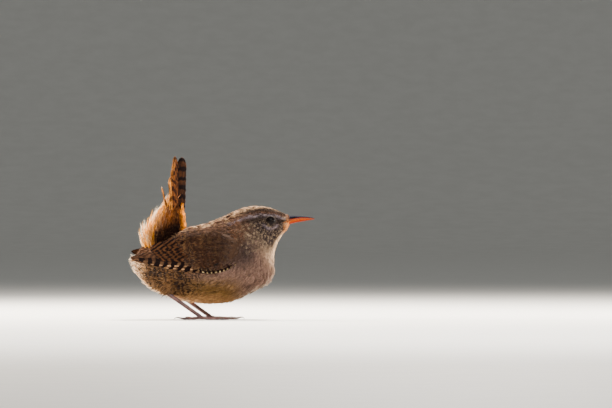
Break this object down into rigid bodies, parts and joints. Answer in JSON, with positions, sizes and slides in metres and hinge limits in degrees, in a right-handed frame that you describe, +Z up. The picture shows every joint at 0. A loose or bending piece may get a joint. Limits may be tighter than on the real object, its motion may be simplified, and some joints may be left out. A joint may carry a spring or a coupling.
{
  "type": "wren figure",
  "caption": "Life-size standing wren with its short barred tail cocked upright, as a still museum model.",
  "frame": {"origin": "middle of the bounding box on the floor, under the soles of the feet", "axes": "+X the way the bill points, +Y the bird's left side, +Z up"},
  "size_m": [0.0721, 0.0321, 0.0635],
  "materials": {
    "plumage": "soft matte feathers",
    "pale_plumage": "soft matte feathers",
    "barred_wing": "smooth flight feathers with dark bars",
    "rusty_tail": "smooth tail feathers with dark bars",
    "dark_horn": "satin horn",
    "light_horn": "satin horn",
    "leg_skin": "scaly skin",
    "claw_horn": "satin horn",
    "dark_eye": "wet gloss"
  },
  "bodies": {
    "root": {"head": "plumage", "torso": "plumage", "thigh_right": "plumage", "thigh_left": "plumage", "neck": "pale_plumage", "wing_right": "barred_wing", "wing_left": "barred_wing", "tail": "rusty_tail", "bill_upper": "dark_horn", "bill_lower": "light_horn", "tarsus_right": "leg_skin", "tarsus_left": "leg_skin", "foot_right": "leg_skin", "foot_left": "leg_skin", "claw_hind_right": "claw_horn", "claw_hind_left": "claw_horn", "claw_inner_right": "claw_horn", "claw_inner_left": "claw_horn", "claw_middle_right": "claw_horn", "claw_middle_left": "claw_horn", "claw_outer_right": "claw_horn", "claw_outer_left": "claw_horn", "eye_right": "dark_eye", "eye_left": "dark_eye"}
  },
  "joints": []
}
